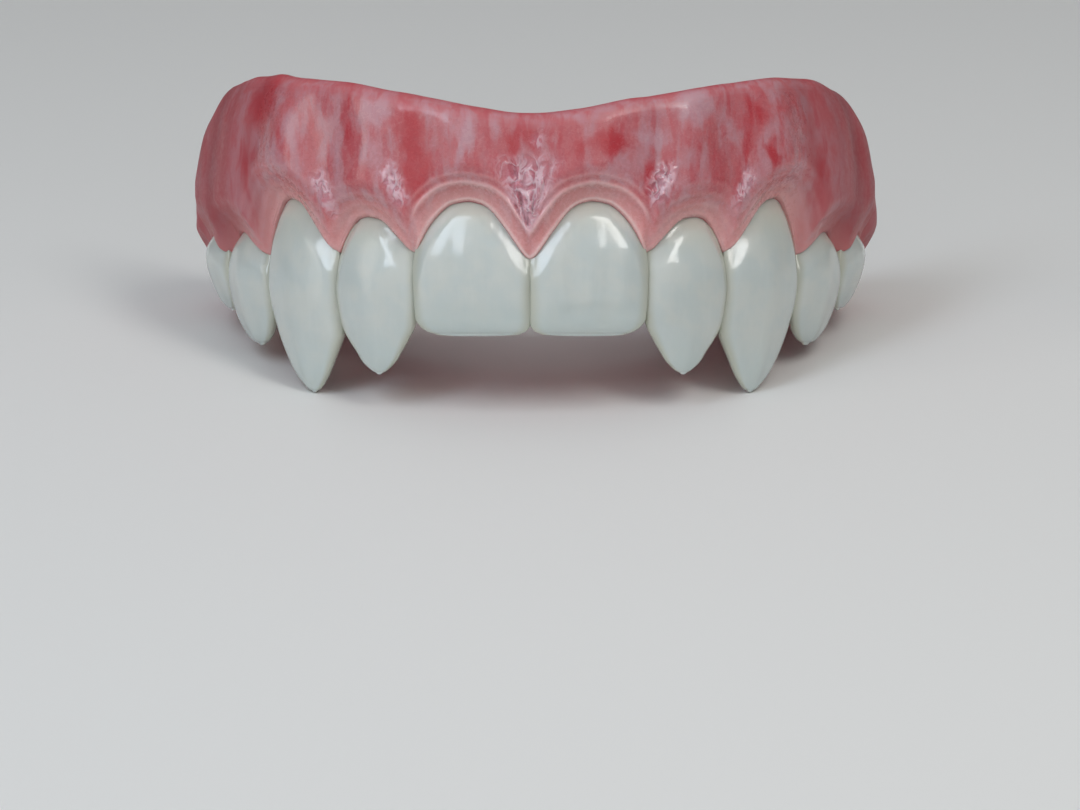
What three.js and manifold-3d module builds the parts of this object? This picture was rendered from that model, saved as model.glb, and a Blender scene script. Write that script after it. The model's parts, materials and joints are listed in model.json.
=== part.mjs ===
// An upper vampire fang denture, worn over the wearer's own teeth.
// A pink gum base, U-shaped in plan and trough-shaped in section, carries ten separate teeth:
// two incisors, two short fangs, two long fangs and four premolars.
//
// Lengths are in millimetres. The denture is modelled in its bite frame: +X to the right as seen
// from the front, +Y towards the throat, +Z up, with Z = 0 at the edge of the two incisors and
// Y = 0 at the front of the arch. It is then laid down as it rests on a table, on the tips of the
// long fangs and the rear ends of the base.

import * as THREE from "three";
import { mergeVertices } from "three/addons/utils/BufferGeometryUtils.js";
import Module from "manifold-3d";

// Arch line: the half ellipse that the fronts of the teeth follow, seen from above.
const archHalfWidth = 28.2;
const archDepth = 27.3;
const archSamples = 400;

// Clearances
const contactGap = 0.3; // between neighbouring teeth
const socketGap = 0.3; // between a tooth and the gum that holds it

// Teeth, from the midline to the rear, as shares of three sizes. Heights are above the edge of
// the incisors. "width" follows the incisor's width, "drop", how far the tip lies below that
// edge, follows the long fangs' drop, and the other heights follow the incisor's neck: "neck" is
// the highest point of the gum line, which stands past the tooth's middle by "skew", a share of
// half its width, and "gum" the tip of the papilla that follows the tooth.
const incisorWidth = 9.3;
const incisorNeck = 10.8;
const fangDrop = 4.3;
const teeth = [
  { name: "central_incisor", form: "incisor", width: 1, drop: -0.02, neck: 1, skew: 0.08, gum: 0.616 },
  { name: "lateral_fang", form: "lateral", width: 0.763, drop: 0.674, neck: 0.88, skew: 0.15, gum: 0.634 },
  { name: "canine_fang", form: "canine", width: 0.882, drop: 1, neck: 1.037, skew: 0.3, gum: 0.63 },
  { name: "first_premolar", form: "premolar", width: 0.774, drop: 0.093, neck: 0.824, skew: 0.1, gum: 0.676 },
  { name: "second_premolar", form: "premolar", width: 0.753, drop: -0.605, neck: 0.861, skew: 0, gum: 0.704 },
];
const midlinePapilla = 0.565; // gum line between the two incisors, as a share of their neck
const gumLineCurve = 1.65; // how steeply the gum line falls from a neck to a papilla
const rootDepth = 1.2; // how far a tooth goes up under the gum line
const fangDepth = 3.4; // the long fangs from front to back

// Gum base
const flangeHeight = 22; // highest point of the flange above the incisor edge
const flangeThickness = 2.4;
const marginProud = 0.35; // gum ahead of the arch line, at the gum line
const papillaHollow = 0.35; // how far it falls back there between two teeth
const rootSwell = 0.55; // swelling of the gum over each root
const canineSwell = 0.75; // and over the roots of the long fangs
const rootFurrow = 0.22; // depth of the furrows between the roots
const bedClearance = 0.1; // behind the deepest socket
const bedWall = 1.2; // wall behind the teeth
const channelWidth = 7.4; // room for the wearer's teeth
const channelDepth = 5.5; // its front wall, below the lean of the flange
const lingualWall = 1.5;
const lingualHeight = 8; // inner wall above the floor of the channel
const heelBevel = 0.8; // along the lower inner edge
const floorThickness = 1.4;
const frontUnderside = 1.9; // underside of the floor behind the incisors
const rearUnderside = 3.7; // and behind the second premolars
const rearPad = 5.5; // length of the base past the last tooth
const padRecess = 1.9; // how far its lower face stands back from the last tooth
const padLip = 1; // height of its lower edge above its underside
const padFall = 0.75; // share of the pad in which the gum line comes down to that edge
const padTuck = 0.9; // and in which its face draws back

// The lip that closes over the teeth at the gum line, and the bed behind the teeth: "depth" is a
// share of the way back from the face to the bed, and the others of the height from the
// underside up to the gum line.
const lip = { depth: 0.27, front: 0.07, back: 0.12, bedBevel: 0.1 };

// Tooth forms. "at" runs from the tip, 0, to the root's top, 1. Mesial (towards the midline) and
// distal are shares of half the width; front and back are shares of the depth, measured inwards
// from the arch line, and the depth a share of the long fangs'. "lean" carries the tip towards
// the midline, by a share of half the width.
const leanEnd = 0.55; // where along the tooth the lean fades out
const forms = {
  incisor: {
    depth: 0.824,
    lean: 0,
    squareness: 2.5,
    rows: [
      { at: 0, mesial: 0.82, distal: 0.64, front: 0.4, back: 0.6 },
      { at: 0.015, mesial: 0.91, distal: 0.76, front: 0.32, back: 0.68 },
      { at: 0.05, mesial: 0.965, distal: 0.88, front: 0.23, back: 0.78 },
      { at: 0.11, mesial: 0.98, distal: 0.955, front: 0.14, back: 0.86 },
      { at: 0.25, mesial: 0.99, distal: 0.985, front: 0.04, back: 0.95 },
      { at: 0.42, mesial: 1, distal: 1, front: 0, back: 1 },
      { at: 0.57, mesial: 0.97, distal: 0.97, front: 0.02, back: 1 },
      { at: 0.7, mesial: 0.89, distal: 0.89, front: 0.08, back: 1 },
      { at: 0.82, mesial: 0.77, distal: 0.77, front: 0.17, back: 1 },
      { at: 0.92, mesial: 0.62, distal: 0.62, front: 0.28, back: 0.98 },
      { at: 1, mesial: 0.42, distal: 0.42, front: 0.45, back: 0.9 },
    ],
  },
  lateral: {
    depth: 0.882,
    lean: 0,
    squareness: 2.1,
    rows: [
      { at: 0, mesial: 0.06, distal: 0.06, front: 0.52, back: 0.6 },
      { at: 0.02, mesial: 0.2, distal: 0.18, front: 0.44, back: 0.68 },
      { at: 0.06, mesial: 0.36, distal: 0.34, front: 0.37, back: 0.74 },
      { at: 0.13, mesial: 0.55, distal: 0.52, front: 0.3, back: 0.81 },
      { at: 0.2, mesial: 0.73, distal: 0.71, front: 0.23, back: 0.87 },
      { at: 0.28, mesial: 0.91, distal: 0.87, front: 0.16, back: 0.92 },
      { at: 0.37, mesial: 0.98, distal: 0.95, front: 0.1, back: 0.96 },
      { at: 0.5, mesial: 1, distal: 1, front: 0.03, back: 1 },
      { at: 0.62, mesial: 1, distal: 1, front: 0, back: 1 },
      { at: 0.74, mesial: 0.94, distal: 0.94, front: 0.04, back: 1 },
      { at: 0.85, mesial: 0.79, distal: 0.79, front: 0.14, back: 1 },
      { at: 0.93, mesial: 0.62, distal: 0.62, front: 0.27, back: 0.98 },
      { at: 1, mesial: 0.42, distal: 0.42, front: 0.45, back: 0.9 },
    ],
  },
  canine: {
    depth: 1,
    lean: 0.17,
    squareness: 2,
    rows: [
      { at: 0, mesial: 0.05, distal: 0.05, front: 0.54, back: 0.62 },
      { at: 0.015, mesial: 0.17, distal: 0.15, front: 0.47, back: 0.7 },
      { at: 0.05, mesial: 0.31, distal: 0.28, front: 0.41, back: 0.77 },
      { at: 0.1, mesial: 0.47, distal: 0.43, front: 0.35, back: 0.83 },
      { at: 0.16, mesial: 0.64, distal: 0.57, front: 0.3, back: 0.88 },
      { at: 0.22, mesial: 0.81, distal: 0.68, front: 0.25, back: 0.93 },
      { at: 0.28, mesial: 0.95, distal: 0.77, front: 0.2, back: 0.97 },
      { at: 0.36, mesial: 0.98, distal: 0.86, front: 0.14, back: 1 },
      { at: 0.46, mesial: 0.98, distal: 0.95, front: 0.07, back: 1 },
      { at: 0.58, mesial: 1, distal: 1, front: 0.02, back: 1 },
      { at: 0.7, mesial: 0.93, distal: 1, front: 0, back: 1 },
      { at: 0.82, mesial: 0.74, distal: 0.95, front: 0.06, back: 1 },
      { at: 0.92, mesial: 0.5, distal: 0.82, front: 0.16, back: 0.98 },
      { at: 1, mesial: 0.24, distal: 0.58, front: 0.36, back: 0.9 },
    ],
  },
  premolar: {
    depth: 0.941,
    lean: 0,
    squareness: 2.1,
    rows: [
      { at: 0, mesial: 0.12, distal: 0.12, front: 0.7, back: 0.8 },
      { at: 0.025, mesial: 0.32, distal: 0.32, front: 0.6, back: 0.88 },
      { at: 0.08, mesial: 0.56, distal: 0.54, front: 0.5, back: 0.93 },
      { at: 0.16, mesial: 0.76, distal: 0.74, front: 0.39, back: 0.97 },
      { at: 0.26, mesial: 0.91, distal: 0.89, front: 0.28, back: 1 },
      { at: 0.38, mesial: 0.98, distal: 0.97, front: 0.17, back: 1 },
      { at: 0.5, mesial: 1, distal: 1, front: 0.09, back: 1 },
      { at: 0.64, mesial: 0.98, distal: 0.98, front: 0.02, back: 1 },
      { at: 0.78, mesial: 0.88, distal: 0.88, front: 0, back: 1 },
      { at: 0.9, mesial: 0.7, distal: 0.7, front: 0.08, back: 0.98 },
      { at: 1, mesial: 0.45, distal: 0.45, front: 0.3, back: 0.9 },
    ],
  },
};
const sideLine = 0.42; // where a tooth is widest, as a share from its front to its back
const ringPoints = 16; // points round a tooth

// Top edge of the flange. "along" runs from the midline, 0, to the rear end, 1, and "height" is a
// share of the flange height.
const borderRows = [
  { along: 0, height: 0.805 },
  { along: 0.09, height: 0.828 },
  { along: 0.18, height: 0.865 },
  { along: 0.33, height: 0.925 },
  { along: 0.5, height: 0.965 },
  { along: 0.64, height: 0.99 },
  { along: 0.72, height: 0.998 },
  { along: 0.81, height: 0.945 },
  { along: 0.88, height: 0.85 },
  { along: 0.94, height: 0.72 },
  { along: 1, height: 0.55 },
];

// Outer face of the gum, from the gum line, 0, to the top edge, 1. "front" and "side" are lengths
// ahead of the arch line, at the midline and past the long fangs, as shares of the flange
// thickness. "swell", "hollow" and "tuck" are the shares that are felt there of the swelling over
// the roots and the furrows between them, the hollows over the papillae and the recess of the
// rear pad.
const faceRows = [
  { up: 0, front: 0, side: 0, swell: 0.22, hollow: 1, tuck: 1 },
  { up: 0.08, front: 0.12, side: 0.14, swell: 0.4, hollow: 0.86, tuck: 0.95 },
  { up: 0.22, front: 0.06, side: 0.2, swell: 0.72, hollow: 0.27, tuck: 0.6 },
  { up: 0.4, front: 0, side: 0.17, swell: 0.97, hollow: 0, tuck: 0.12 },
  { up: 0.58, front: 0, side: 0.06, swell: 0.95, hollow: 0, tuck: 0 },
  { up: 0.76, front: 0.04, side: -0.08, swell: 0.66, hollow: 0, tuck: 0 },
  { up: 0.9, front: 0.02, side: -0.27, swell: 0.33, hollow: 0, tuck: 0 },
  { up: 1, front: -0.14, side: -0.56, swell: 0.12, hollow: 0, tuck: 0 },
];
const faceSteps = [0, 0.06, 0.2, 0.42, 0.65, 0.85, 1];

// Where stations stand across each tooth, from its middle, 0, to its papilla, 1
const stationSteps = [0, 0.18, 0.4, 0.62, 0.82, 1];
const padStations = 4;
const edgeAngles = [45, 90, 135]; // points over the rounded top edge, in degrees

// The tilt at rest is found by halving
const steepestTilt = Math.PI / 3;
const tiltSteps = 40;

const clamp01 = (v) => Math.min(1, Math.max(0, v));
const ease = (v) => clamp01(v) ** 2 * (3 - 2 * clamp01(v));
const signedPower = (v, p) => Math.sign(v) * Math.abs(v) ** p;

// Smooth value of a table's column at a place along its first column.
function fromRows(rows, place, column, at) {
  const last = rows.length - 1;
  const i = rows.findIndex((row) => row[place] >= at);
  if (i <= 0) return rows[i === 0 ? 0 : last][column];
  const slope = (k) => {
    if (k === 0 || k === last) return 0;
    const before = (rows[k][column] - rows[k - 1][column]) / (rows[k][place] - rows[k - 1][place]);
    const after = (rows[k + 1][column] - rows[k][column]) / (rows[k + 1][place] - rows[k][place]);
    return before * after <= 0 ? 0 : (2 * before * after) / (before + after);
  };
  const a = rows[i - 1];
  const b = rows[i];
  const span = b[place] - a[place];
  const t = (at - a[place]) / span;
  const h = t * t * (3 - 2 * t);
  return (
    a[column] * (1 - h) +
    b[column] * h +
    slope(i - 1) * span * t * (1 - t) ** 2 -
    slope(i) * span * t * t * (1 - t)
  );
}

// The right half of the arch line, as points with their heading and the length along the curve.
const archLine = (() => {
  const line = [];
  let length = 0;
  for (let i = 0; i <= archSamples; i++) {
    const angle = (i / archSamples) * (Math.PI / 2);
    const x = archHalfWidth * Math.sin(angle);
    const y = archDepth * (1 - Math.cos(angle));
    const heading = Math.atan2(archDepth * Math.sin(angle), archHalfWidth * Math.cos(angle));
    if (i > 0) length += Math.hypot(x - line[i - 1].x, y - line[i - 1].y);
    line.push({ x, y, heading, length });
  }
  return line;
})();

// Place on the arch at a signed length from the midline, and the heading of the arch there. Past
// the end of the curve it runs straight on to the rear.
function archAt(s) {
  const side = Math.sign(s) || 1;
  const length = Math.abs(s);
  const end = archLine[archSamples];
  if (length >= end.length) {
    return { x: side * end.x, y: end.y + length - end.length, heading: side * end.heading };
  }
  const i = archLine.findIndex((p) => p.length > length);
  const t = (length - archLine[i - 1].length) / (archLine[i].length - archLine[i - 1].length);
  const mix = (key) => archLine[i - 1][key] + (archLine[i][key] - archLine[i - 1][key]) * t;
  return { x: side * mix("x"), y: mix("y"), heading: side * mix("heading") };
}

// A point at length s along the arch, d ahead of the arch line and z up.
function archPoint(s, d, z) {
  const p = archAt(s);
  return new THREE.Vector3(p.x + d * Math.sin(p.heading), p.y - d * Math.cos(p.heading), z);
}

// Each tooth's lengths, its middle along the arch, and the half-width that it and its gaps take up.
let reach = 0;
const places = teeth.map((tooth) => {
  const width = tooth.width * incisorWidth;
  const half = (width + contactGap) / 2;
  const middle = reach + half;
  reach += 2 * half;
  const tip = -tooth.drop * fangDrop;
  return {
    ...tooth, width, half, middle, tip, neck: tooth.neck * incisorNeck, papilla: tooth.gum * incisorNeck,
  };
});
const archEnd = reach + rearPad;
const placeOf = (name) => places.find((tooth) => tooth.name === name).middle;
const bedDepth = fangDepth + socketGap + bedClearance;

// Closed mesh through rings of points, with both ends closed on a middle point or by a cap.
function loft(rings, capTriangles) {
  const count = rings[0].length;
  const positions = rings.flat().flatMap((p) => [p.x, p.y, p.z]);
  const index = [];
  for (let r = 0; r + 1 < rings.length; r++) {
    for (let k = 0; k < count; k++) {
      const a = r * count + k;
      const b = r * count + ((k + 1) % count);
      index.push(a, b, b + count, a, b + count, a + count);
    }
  }
  const top = (rings.length - 1) * count;
  if (capTriangles) {
    for (const [a, b, c] of capTriangles) index.push(a, c, b, top + a, top + b, top + c);
  } else {
    for (const [start, ring, turned] of [[0, rings[0], true], [top, rings.at(-1), false]]) {
      const middle = positions.length / 3;
      const centre = ring.reduce((sum, p) => sum.add(p), new THREE.Vector3()).divideScalar(count);
      positions.push(centre.x, centre.y, centre.z);
      for (let k = 0; k < count; k++) {
        const a = start + k;
        const b = start + ((k + 1) % count);
        index.push(...(turned ? [b, a, middle] : [a, b, middle]));
      }
    }
  }
  const geometry = new THREE.BufferGeometry();
  geometry.setAttribute("position", new THREE.Float32BufferAttribute(positions, 3));
  geometry.setIndex(index);
  return geometry;
}

// A tooth in its own frame: +X along the arch, -Y to the front, origin on the arch line at the
// incisor edge's height. "grow" makes the larger shape that its socket is cut with.
function toothGeometry(tooth, side, grow = 0) {
  const { rows, squareness, lean } = forms[tooth.form];
  const depth = forms[tooth.form].depth * fangDepth;
  const bottom = tooth.tip - grow;
  const top = tooth.neck + rootDepth + grow;
  const rings = rows.map((row) => {
    const z = bottom + (top - bottom) * row.at;
    const mesial = (row.mesial * tooth.width) / 2 + grow;
    const distal = (row.distal * tooth.width) / 2 + grow;
    const front = row.front * depth - grow;
    const back = row.back * depth + grow;
    const middle = front + (back - front) * sideLine;
    const shift = ((-side * lean * tooth.width) / 2) * clamp01(1 - row.at / leanEnd) ** 2;
    const ring = [];
    for (let k = 0; k < ringPoints; k++) {
      const angle = (2 * Math.PI * k) / ringPoints;
      const across = signedPower(Math.cos(angle), 2 / squareness);
      const inwards = signedPower(Math.sin(angle), 2 / squareness);
      const half = across * side > 0 ? distal : mesial;
      const thickness = inwards > 0 ? back - middle : middle - front;
      ring.push(new THREE.Vector3(shift + across * half, middle + inwards * thickness, z));
    }
    return ring;
  });
  return loft(rings);
}

// Height of the gum line, the pull of the nearest tooth, 1 at its middle and 0 at a papilla, and
// the swelling of the gum over its root.
function gumLine(s) {
  const length = Math.abs(s);
  const i = places.findIndex((tooth) => length <= tooth.middle + tooth.half);
  if (i < 0) {
    const start = places.at(-1).papilla;
    const fall = ease((length - reach) / (rearPad * padFall));
    return { height: start + (rearUnderside + padLip - start) * fall, pull: 0, swell: rootSwell };
  }
  const tooth = places[i];
  const peak = tooth.skew * tooth.half;
  const past = length - tooth.middle - peak;
  const offset = clamp01(Math.abs(past) / (tooth.half - Math.sign(past) * peak));
  const before = i === 0 ? midlinePapilla * incisorNeck : places[i - 1].papilla;
  const papilla = past < 0 ? before : tooth.papilla;
  return {
    height: tooth.neck - (tooth.neck - papilla) * offset ** gumLineCurve,
    pull: Math.cos((offset * Math.PI) / 2) ** 2,
    swell: tooth.form === "canine" ? canineSwell : rootSwell,
  };
}

// Share of the way round from the short fangs to a tooth further back.
function shareRound(s, rearTooth) {
  const start = placeOf("lateral_fang");
  return ease((Math.abs(s) - start) / (placeOf(rearTooth) - start));
}
const underside = (s) =>
  frontUnderside + (rearUnderside - frontUnderside) * shareRound(s, "second_premolar");

// Length that the gum's outer face stands ahead of the arch line.
function faceAhead(s, up) {
  const felt = (column) => fromRows(faceRows, "up", column, up);
  const { pull, swell } = gumLine(s);
  const tuck = ease((Math.abs(s) - reach) / (rearPad * padTuck));
  return (
    marginProud +
    flangeThickness * (felt("front") + (felt("side") - felt("front")) * shareRound(s, "first_premolar")) +
    (swell * pull - rootFurrow) * felt("swell") -
    papillaHollow * (1 - pull) * felt("hollow") -
    padRecess * tuck * felt("tuck")
  );
}

// The base's section at length s along the arch, as points ahead (x) and up (y), going round
// from the gum line up the outer face, over the top edge, down the channel and back underneath.
function baseSection(s) {
  const line = gumLine(s).height;
  const border = flangeHeight * fromRows(borderRows, "along", "height", Math.abs(s) / archEnd);
  const under = underside(s);
  const floor = under + floorThickness;
  const channelFront = -(bedDepth + bedWall);
  const channelBack = channelFront - channelWidth;
  const lingual = channelBack - lingualWall;
  const wallTop = floor + lingualHeight;
  const round = flangeThickness / 2;
  const edgeHeight = border - round;
  const outer = faceSteps.map((up) => [faceAhead(s, up), line + (edgeHeight - line) * up]);
  const edge = outer.at(-1)[0];
  const face = outer[0][0];
  const topEdge = edgeAngles.map((degrees) => {
    const angle = THREE.MathUtils.degToRad(degrees);
    return [edge - round + round * Math.cos(angle), edgeHeight + round * Math.sin(angle)];
  });
  const drop = line - under;
  return [
    ...outer,
    ...topEdge,
    [edge - flangeThickness, edgeHeight],
    [channelFront, floor + channelDepth],
    [channelFront, floor],
    [channelBack, floor],
    [channelBack, wallTop - lingualWall / 2],
    [channelBack - lingualWall / 2, wallTop],
    [lingual, wallTop - lingualWall / 2],
    [lingual, under + heelBevel],
    [lingual + heelBevel, under],
    [-bedDepth - drop * lip.bedBevel, under],
    [-bedDepth, under + drop * lip.bedBevel],
    [-bedDepth, line - drop * lip.back],
    [face - (face + bedDepth) * lip.depth, line - drop * lip.front],
  ];
}

// The base, lofted through a section at each station from the right rear end to the left one.
function baseGeometry() {
  const half = [];
  for (const tooth of places) {
    const peak = tooth.skew * tooth.half;
    const neck = tooth.middle + peak;
    for (const step of stationSteps.slice(1).reverse()) half.push(neck - step * (tooth.half + peak));
    for (const step of stationSteps.slice(0, -1)) half.push(neck + step * (tooth.half - peak));
  }
  for (let k = 0; k <= padStations; k++) half.push(reach + (rearPad * k) / padStations);
  const stations = [...half, ...half.slice(1).map((s) => -s)].sort((a, b) => b - a);
  const sections = stations.map((s) => baseSection(s));
  const rings = stations.map((s, k) => sections[k].map(([d, z]) => archPoint(s, d, z)));
  const outline = sections[0].map(([x, y]) => new THREE.Vector2(x, y));
  return loft(rings, THREE.ShapeUtils.triangulateShape(outline, []));
}

const wasm = await Module();
wasm.setup();

function toSolid(geometry, matrix = new THREE.Matrix4()) {
  const merged = mergeVertices(geometry.clone().applyMatrix4(matrix), 1e-4);
  const vertProperties = merged.attributes.position.array;
  const triVerts = new Uint32Array(merged.index.array);
  return new wasm.Manifold(new wasm.Mesh({ numProp: 3, vertProperties, triVerts }));
}

function toGeometry(solid) {
  const mesh = solid.getMesh();
  const geometry = new THREE.BufferGeometry();
  geometry.setAttribute("position", new THREE.Float32BufferAttribute(mesh.vertProperties, 3));
  geometry.setIndex([...mesh.triVerts]);
  return geometry;
}

const acrylic = (color, roughness) => new THREE.MeshStandardMaterial({ color, roughness, metalness: 0 });
const gumAcrylic = acrylic(0xb4616b, 0.28);
const toothAcrylic = acrylic(0xdfe3dc, 0.16);

// Teeth, each placed on the arch line at its middle.
const bite = new THREE.Group();
const sockets = [];
for (const side of [1, -1]) {
  for (const tooth of places) {
    const at = archAt(side * tooth.middle);
    const mesh = new THREE.Mesh(toothGeometry(tooth, side), toothAcrylic);
    mesh.name = `${tooth.name}_${side > 0 ? "right" : "left"}`;
    mesh.position.set(at.x, at.y, 0);
    mesh.rotation.z = at.heading;
    mesh.updateMatrix();
    sockets.push(toSolid(toothGeometry(tooth, side, socketGap), mesh.matrix));
    bite.add(mesh);
  }
}

// Base, with a socket cut for each tooth.
let base = toSolid(baseGeometry());
for (const socket of sockets) base = base.subtract(socket);
const largest = base.decompose().reduce((a, b) => (a.volume() > b.volume() ? a : b));
const gumBase = new THREE.Mesh(toGeometry(largest), gumAcrylic);
gumBase.name = "gum_base";
bite.add(gumBase);

// The tilt at which the tips of the long fangs and the rear of the base touch one plane.
function lowest(mesh, tilt) {
  mesh.updateMatrix();
  const position = mesh.geometry.attributes.position;
  const point = new THREE.Vector3();
  let low = Infinity;
  for (let i = 0; i < position.count; i++) {
    point.fromBufferAttribute(position, i).applyMatrix4(mesh.matrix);
    low = Math.min(low, point.z * Math.cos(tilt) - point.y * Math.sin(tilt));
  }
  return low;
}
const fang = bite.getObjectByName("canine_fang_right");
let flat = 0;
let steep = steepestTilt;
for (let i = 0; i < tiltSteps; i++) {
  const tilt = (flat + steep) / 2;
  if (lowest(fang, tilt) < lowest(gumBase, tilt)) flat = tilt;
  else steep = tilt;
}
bite.rotation.x = -flat;

// The origin is the middle of the resting denture's foot.
const denture = new THREE.Group();
denture.add(bite);
denture.updateMatrixWorld(true);
const box = new THREE.Box3().setFromObject(denture, true);
bite.position.set(0, -(box.min.y + box.max.y) / 2, -box.min.z);

export default denture;
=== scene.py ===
import json
import math

import bpy
import numpy as np
from mathutils import Matrix, Vector


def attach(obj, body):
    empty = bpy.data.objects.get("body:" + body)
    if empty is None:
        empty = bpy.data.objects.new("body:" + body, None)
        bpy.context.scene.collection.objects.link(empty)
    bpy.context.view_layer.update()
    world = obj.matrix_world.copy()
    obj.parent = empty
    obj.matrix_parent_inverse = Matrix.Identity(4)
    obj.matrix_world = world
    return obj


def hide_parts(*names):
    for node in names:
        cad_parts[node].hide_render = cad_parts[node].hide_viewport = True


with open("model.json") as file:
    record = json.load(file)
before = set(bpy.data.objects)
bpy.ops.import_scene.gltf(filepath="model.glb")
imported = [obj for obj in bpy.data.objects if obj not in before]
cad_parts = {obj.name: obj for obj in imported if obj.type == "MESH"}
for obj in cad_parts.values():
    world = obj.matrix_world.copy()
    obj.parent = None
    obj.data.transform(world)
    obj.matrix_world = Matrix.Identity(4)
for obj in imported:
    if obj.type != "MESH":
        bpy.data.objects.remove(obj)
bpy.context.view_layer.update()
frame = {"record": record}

# An upper vampire fang denture: a glossy rose-pink gum base with ten glossy teeth in its front.
# The shapes are made in the bite frame, in millimetres: +X to the right as seen from the front,
# +Y towards the throat, +Z up, Z = 0 at the edge of the two incisors and Y = 0 at the front of
# the arch. The frame has the denture tilted as it rests, and one mount tells how.

MM = 0.001

# Sizes of the solids, in millimetres, or shares of them
ARCH_HALF_WIDTH = 28.2
ARCH_DEPTH = 27.3
CONTACT_GAP = 0.3
ROOT_DEPTH = 1.2
INCISOR_WIDTH = 9.3
INCISOR_NECK = 10.8
FANG_DROP = 4.3
FANG_DEPTH = 3.4
MIDLINE_PAPILLA = 0.565
FLANGE_HEIGHT = 22.0
FLANGE_THICKNESS = 2.4
MARGIN_PROUD = 0.35
ROOT_SWELL = 0.55
CANINE_SWELL = 0.75
ROOT_FURROW = 0.22
CHANNEL_FRONT = 5.0
CHANNEL_WIDTH = 7.4
CHANNEL_DEPTH = 5.5
LINGUAL_WALL = 1.5
LINGUAL_HEIGHT = 8.0
FLOOR_THICKNESS = 1.4
FRONT_UNDERSIDE = 1.9
REAR_UNDERSIDE = 3.7
REAR_PAD = 5.5
PAD_RECESS = 1.9
PAD_LIP = 1.0
PAD_FALL = 0.75
PAD_TUCK = 0.9

# Where the gum follows the photo more closely than its solid
SIDE_SWELL = 0.28  # over the premolars' roots
PAD_STEP = 0.55  # share of the pad's recess that is reached right behind the last tooth
PAD_SHELF = 10.0  # height at which the gum overhangs the pad's recess

# Teeth from the midline to the rear, as shares of four sizes: "width" of the incisor's, "drop", how
# far the tip lies below the incisors' edge, of the long fangs', "neck", the highest point of the
# gum line, and "gum", the gum's tip past the tooth, of the incisor's neck, and "skew", how far
# that point stands past the tooth's middle, of half its width. Some necks and skews follow the
# photo more closely than in the solids.
TOOTH_COLUMNS = ("name", "form", "width", "drop", "neck", "skew", "gum")
TOOTH_ROWS = [
    ("central_incisor", "incisor", 1, -0.02, 1, 0.08, 0.616),
    ("lateral_fang", "lateral", 0.763, 0.674, 0.9, 0.32, 0.634),
    ("canine_fang", "canine", 0.882, 1, 1.06, 0.5, 0.63),
    ("first_premolar", "premolar", 0.774, 0.093, 0.83, 0.36, 0.676),
    ("second_premolar", "premolar", 0.753, -0.605, 0.861, 0.3, 0.704),
]
TEETH = [dict(zip(TOOTH_COLUMNS, row)) for row in TOOTH_ROWS]

# Tooth forms, as in the solids: "at" runs from the tip, 0, to the root's top, 1, and the others
# are shares of half the width and of the depth. "edge" is the height of the rounded tip, in
# millimetres, and the scene's own.
FORM_COLUMNS = ("at", "mesial", "distal", "front", "back")
FORMS = {
    "incisor": dict(depth=0.824, lean=0, squareness=2.5, edge=0.16, rows=[
        (0, 0.82, 0.64, 0.4, 0.6), (0.015, 0.91, 0.76, 0.32, 0.68), (0.05, 0.965, 0.88, 0.23, 0.78),
        (0.11, 0.98, 0.955, 0.14, 0.86), (0.25, 0.99, 0.985, 0.04, 0.95), (0.42, 1, 1, 0, 1),
        (0.57, 0.97, 0.97, 0.02, 1), (0.7, 0.89, 0.89, 0.08, 1), (0.82, 0.77, 0.77, 0.17, 1),
        (0.92, 0.62, 0.62, 0.28, 0.98), (1, 0.42, 0.42, 0.45, 0.9),
    ]),
    "lateral": dict(depth=0.882, lean=0, squareness=2.1, edge=0.05, rows=[
        (0, 0.06, 0.06, 0.52, 0.6), (0.02, 0.2, 0.18, 0.44, 0.68), (0.06, 0.36, 0.34, 0.37, 0.74),
        (0.13, 0.55, 0.52, 0.3, 0.81), (0.2, 0.73, 0.71, 0.23, 0.87), (0.28, 0.91, 0.87, 0.16, 0.92),
        (0.37, 0.98, 0.95, 0.1, 0.96), (0.5, 1, 1, 0.03, 1), (0.62, 1, 1, 0, 1),
        (0.74, 0.94, 0.94, 0.04, 1), (0.85, 0.79, 0.79, 0.14, 1), (0.93, 0.62, 0.62, 0.27, 0.98),
        (1, 0.42, 0.42, 0.45, 0.9),
    ]),
    "canine": dict(depth=1, lean=0.17, squareness=2, edge=0.05, rows=[
        (0, 0.05, 0.05, 0.54, 0.62), (0.015, 0.17, 0.15, 0.47, 0.7), (0.05, 0.31, 0.28, 0.41, 0.77),
        (0.1, 0.47, 0.43, 0.35, 0.83), (0.16, 0.64, 0.57, 0.3, 0.88), (0.22, 0.81, 0.68, 0.25, 0.93),
        (0.28, 0.95, 0.77, 0.2, 0.97), (0.36, 0.98, 0.86, 0.14, 1), (0.46, 0.98, 0.95, 0.07, 1),
        (0.58, 1, 1, 0.02, 1), (0.7, 0.93, 1, 0, 1), (0.82, 0.74, 0.95, 0.06, 1),
        (0.92, 0.5, 0.82, 0.16, 0.98), (1, 0.24, 0.58, 0.36, 0.9),
    ]),
    "premolar": dict(depth=0.941, lean=0, squareness=2.1, edge=0.1, rows=[
        (0, 0.12, 0.12, 0.7, 0.8), (0.025, 0.32, 0.32, 0.6, 0.88), (0.08, 0.56, 0.54, 0.5, 0.93),
        (0.16, 0.76, 0.74, 0.39, 0.97), (0.26, 0.91, 0.89, 0.28, 1), (0.38, 0.98, 0.97, 0.17, 1),
        (0.5, 1, 1, 0.09, 1), (0.64, 0.98, 0.98, 0.02, 1), (0.78, 0.88, 0.88, 0, 1),
        (0.9, 0.7, 0.7, 0.08, 0.98), (1, 0.45, 0.45, 0.3, 0.9),
    ]),
}
LEAN_END = 0.55  # share of the height where the lean of a tip fades out
SIDE_LINE = 0.42  # where a tooth is widest, as a share from its front to its back
NECK_START = 0.48  # above this share of its height a tooth draws in a little more than its solid
NECK_FALL = 0.24
NECK_TAPER = 0.14
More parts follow.
